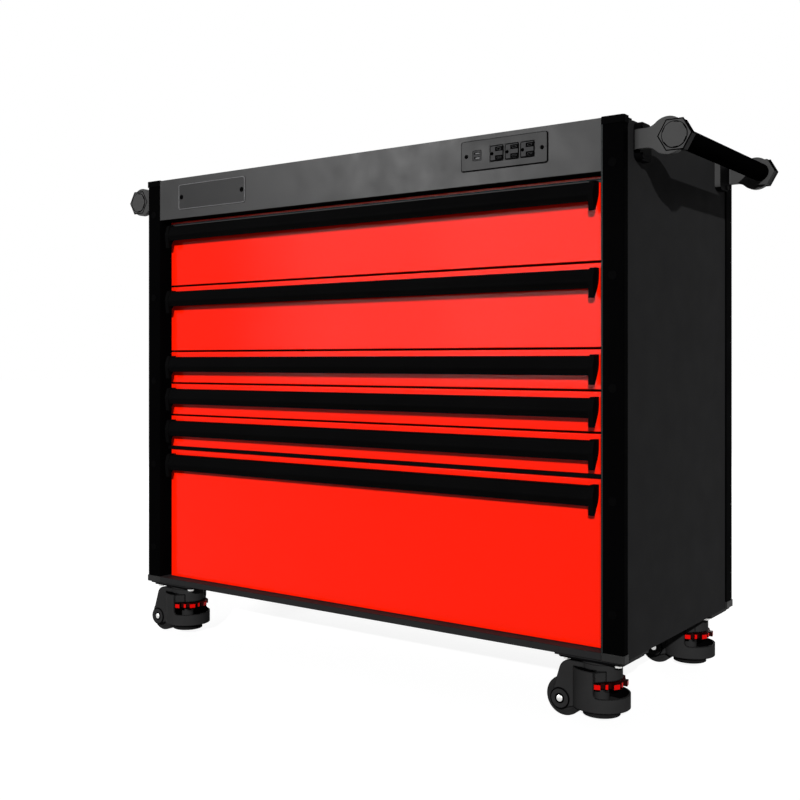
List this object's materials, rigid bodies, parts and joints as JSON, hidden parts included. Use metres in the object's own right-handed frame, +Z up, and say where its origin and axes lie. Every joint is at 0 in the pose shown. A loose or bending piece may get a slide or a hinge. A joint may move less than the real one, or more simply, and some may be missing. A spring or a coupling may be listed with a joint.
{
  "type": "mobile drawer cabinet",
  "caption": "Wide mobile tool cabinet with full-width drawers, full-length pulls, side bar handles, a power outlet strip and levelling casters",
  "frame": {"origin": "on the floor, under the middle of the cabinet", "axes": "+X to the right seen from the front, +Y to the back, +Z up"},
  "size_m": [1.4334, 0.559, 1.077],
  "materials": {
    "black_anodised": "satin black anodised",
    "black_plastic": "moulded black plastic",
    "charcoal_paint": "satin charcoal powder coat",
    "grey_paint": "satin dark grey powder coat",
    "black_paint": "satin black powder coat",
    "rubber_mat": "fine-grained rubber mat",
    "zinc_steel": "bright zinc plate",
    "black_metal_plate": "bare dark plate with a thin bright edge line",
    "drawer_box_paint": "dark powder coat",
    "red_paint": "glossy red powder coat",
    "black_nylon": "moulded glass-filled nylon",
    "tyre": "hard black tread",
    "red_plastic": "glossy red moulding",
    "rubber_foot": "black rubber foot on a steel stem"
  },
  "bodies": {
    "cabinet": {"corner_posts": "black_anodised", "post_trim": "black_plastic", "side_panel_left": "charcoal_paint", "side_panel_right": "charcoal_paint", "back_panel": "charcoal_paint", "top_panel": "charcoal_paint", "base_frame": "charcoal_paint", "inner_walls": "charcoal_paint", "fascia": "grey_paint", "divider_rail": "black_paint", "handle_brackets": "black_paint", "caster_plates": "black_paint", "top_mat": "rubber_mat", "slide_outer_members": "zinc_steel", "fasteners": "zinc_steel", "name_plate": "black_metal_plate", "outlet_plate": "black_plastic", "outlet_inserts": "black_plastic", "cord_gland": "black_plastic", "side_handles": "black_anodised"},
    "drawer_1": {"drawer_1_box": "drawer_box_paint", "drawer_1_front": "red_paint", "drawer_1_pull": "black_anodised"},
    "slide_1": {"slide_1_middle": "zinc_steel"},
    "drawer_2": {"drawer_2_box": "drawer_box_paint", "drawer_2_front": "red_paint", "drawer_2_pull": "black_anodised"},
    "slide_2": {"slide_2_middle": "zinc_steel"},
    "drawer_3": {"drawer_3_box": "drawer_box_paint", "drawer_3_front": "red_paint", "drawer_3_pull": "black_anodised"},
    "slide_3": {"slide_3_middle": "zinc_steel"},
    "drawer_4": {"drawer_4_box": "drawer_box_paint", "drawer_4_front": "red_paint", "drawer_4_pull": "black_anodised"},
    "slide_4": {"slide_4_middle": "zinc_steel"},
    "drawer_5": {"drawer_5_box": "drawer_box_paint", "drawer_5_front": "red_paint", "drawer_5_pull": "black_anodised"},
    "slide_5": {"slide_5_middle": "zinc_steel"},
    "drawer_6": {"drawer_6_box": "drawer_box_paint", "drawer_6_front": "red_paint", "drawer_6_pull": "black_anodised"},
    "slide_6": {"slide_6_middle": "zinc_steel"},
    "caster_front_left": {"caster_front_left_housing": "black_nylon"},
    "caster_front_left_roller": {"caster_front_left_wheel": "tyre"},
    "caster_front_left_adjuster": {"caster_front_left_thumb_wheel": "red_plastic"},
    "caster_front_left_leveller": {"caster_front_left_foot": "rubber_foot"},
    "caster_front_right": {"caster_front_right_housing": "black_nylon"},
    "caster_front_right_roller": {"caster_front_right_wheel": "tyre"},
    "caster_front_right_adjuster": {"caster_front_right_thumb_wheel": "red_plastic"},
    "caster_front_right_leveller": {"caster_front_right_foot": "rubber_foot"},
    "caster_rear_left": {"caster_rear_left_housing": "black_nylon"},
    "caster_rear_left_roller": {"caster_rear_left_wheel": "tyre"},
    "caster_rear_left_adjuster": {"caster_rear_left_thumb_wheel": "red_plastic"},
    "caster_rear_left_leveller": {"caster_rear_left_foot": "rubber_foot"},
    "caster_rear_right": {"caster_rear_right_housing": "black_nylon"},
    "caster_rear_right_roller": {"caster_rear_right_wheel": "tyre"},
    "caster_rear_right_adjuster": {"caster_rear_right_thumb_wheel": "red_plastic"},
    "caster_rear_right_leveller": {"caster_rear_right_foot": "rubber_foot"}
  },
  "joints": [
    {"name": "drawer_1_slide", "type": "slide", "parent": "cabinet", "child": "drawer_1", "axis": [0, -1, 0], "range_m": [0, 0.44]},
    {"name": "slide_1_run", "type": "slide", "parent": "cabinet", "child": "slide_1", "axis": [0, -1, 0], "range_m": [0, 0.22]},
    {"name": "drawer_2_slide", "type": "slide", "parent": "cabinet", "child": "drawer_2", "axis": [0, -1, 0], "range_m": [0, 0.44]},
    {"name": "slide_2_run", "type": "slide", "parent": "cabinet", "child": "slide_2", "axis": [0, -1, 0], "range_m": [0, 0.22]},
    {"name": "drawer_3_slide", "type": "slide", "parent": "cabinet", "child": "drawer_3", "axis": [0, -1, 0], "range_m": [0, 0.44]},
    {"name": "slide_3_run", "type": "slide", "parent": "cabinet", "child": "slide_3", "axis": [0, -1, 0], "range_m": [0, 0.22]},
    {"name": "drawer_4_slide", "type": "slide", "parent": "cabinet", "child": "drawer_4", "axis": [0, -1, 0], "range_m": [0, 0.44]},
    {"name": "slide_4_run", "type": "slide", "parent": "cabinet", "child": "slide_4", "axis": [0, -1, 0], "range_m": [0, 0.22]},
    {"name": "drawer_5_slide", "type": "slide", "parent": "cabinet", "child": "drawer_5", "axis": [0, -1, 0], "range_m": [0, 0.44]},
    {"name": "slide_5_run", "type": "slide", "parent": "cabinet", "child": "slide_5", "axis": [0, -1, 0], "range_m": [0, 0.22]},
    {"name": "drawer_6_slide", "type": "slide", "parent": "cabinet", "child": "drawer_6", "axis": [0, -1, 0], "range_m": [0, 0.44]},
    {"name": "slide_6_run", "type": "slide", "parent": "cabinet", "child": "slide_6", "axis": [0, -1, 0], "range_m": [0, 0.22]},
    {"name": "caster_front_left_swivel", "type": "hinge", "parent": "cabinet", "child": "caster_front_left", "pos_m": [-0.5395, -0.216, 0.1], "axis": [0, 0, 1], "continuous": true},
    {"name": "caster_front_left_roll", "type": "hinge", "parent": "caster_front_left", "child": "caster_front_left_roller", "pos_m": [-0.6065, -0.216, 0.036], "axis": [0, 1, 0], "continuous": true},
    {"name": "caster_front_left_adjust", "type": "hinge", "parent": "caster_front_left", "child": "caster_front_left_adjuster", "pos_m": [-0.5395, -0.216, 0.072], "axis": [0, 0, 1], "range_deg": [0, 2160]},
    {"name": "caster_front_left_level", "type": "slide", "parent": "caster_front_left", "child": "caster_front_left_leveller", "axis": [0, 0, -1], "range_m": [0, 0.018]},
    {"name": "caster_front_right_swivel", "type": "hinge", "parent": "cabinet", "child": "caster_front_right", "pos_m": [0.5395, -0.216, 0.1], "axis": [0, 0, 1], "continuous": true},
    {"name": "caster_front_right_roll", "type": "hinge", "parent": "caster_front_right", "child": "caster_front_right_roller", "pos_m": [0.4725, -0.216, 0.036], "axis": [0, 1, 0], "continuous": true},
    {"name": "caster_front_right_adjust", "type": "hinge", "parent": "caster_front_right", "child": "caster_front_right_adjuster", "pos_m": [0.5395, -0.216, 0.072], "axis": [0, 0, 1], "range_deg": [0, 2160]},
    {"name": "caster_front_right_level", "type": "slide", "parent": "caster_front_right", "child": "caster_front_right_leveller", "axis": [0, 0, -1], "range_m": [0, 0.018]},
    {"name": "caster_rear_left_swivel", "type": "hinge", "parent": "cabinet", "child": "caster_rear_left", "pos_m": [-0.5395, 0.216, 0.1], "axis": [0, 0, 1], "continuous": true},
    {"name": "caster_rear_left_roll", "type": "hinge", "parent": "caster_rear_left", "child": "caster_rear_left_roller", "pos_m": [-0.6065, 0.216, 0.036], "axis": [0, 1, 0], "continuous": true},
    {"name": "caster_rear_left_adjust", "type": "hinge", "parent": "caster_rear_left", "child": "caster_rear_left_adjuster", "pos_m": [-0.5395, 0.216, 0.072], "axis": [0, 0, 1], "range_deg": [0, 2160]},
    {"name": "caster_rear_left_level", "type": "slide", "parent": "caster_rear_left", "child": "caster_rear_left_leveller", "axis": [0, 0, -1], "range_m": [0, 0.018]},
    {"name": "caster_rear_right_swivel", "type": "hinge", "parent": "cabinet", "child": "caster_rear_right", "pos_m": [0.5395, 0.216, 0.1], "axis": [0, 0, 1], "continuous": true},
    {"name": "caster_rear_right_roll", "type": "hinge", "parent": "caster_rear_right", "child": "caster_rear_right_roller", "pos_m": [0.4725, 0.216, 0.036], "axis": [0, 1, 0], "continuous": true},
    {"name": "caster_rear_right_adjust", "type": "hinge", "parent": "caster_rear_right", "child": "caster_rear_right_adjuster", "pos_m": [0.5395, 0.216, 0.072], "axis": [0, 0, 1], "range_deg": [0, 2160]},
    {"name": "caster_rear_right_level", "type": "slide", "parent": "caster_rear_right", "child": "caster_rear_right_leveller", "axis": [0, 0, -1], "range_m": [0, 0.018]}
  ],
  "couplings": [
    {"joint": "slide_1_run", "follows": "drawer_1_slide", "ratio": 0.5},
    {"joint": "slide_2_run", "follows": "drawer_2_slide", "ratio": 0.5},
    {"joint": "slide_3_run", "follows": "drawer_3_slide", "ratio": 0.5},
    {"joint": "slide_4_run", "follows": "drawer_4_slide", "ratio": 0.5},
    {"joint": "slide_5_run", "follows": "drawer_5_slide", "ratio": 0.5},
    {"joint": "slide_6_run", "follows": "drawer_6_slide", "ratio": 0.5},
    {"joint": "caster_front_left_level", "follows": "caster_front_left_adjust", "m_per_rad": 0.00047746},
    {"joint": "caster_front_right_level", "follows": "caster_front_right_adjust", "m_per_rad": 0.00047746},
    {"joint": "caster_rear_left_level", "follows": "caster_rear_left_adjust", "m_per_rad": 0.00047746},
    {"joint": "caster_rear_right_level", "follows": "caster_rear_right_adjust", "m_per_rad": 0.00047746}
  ]
}
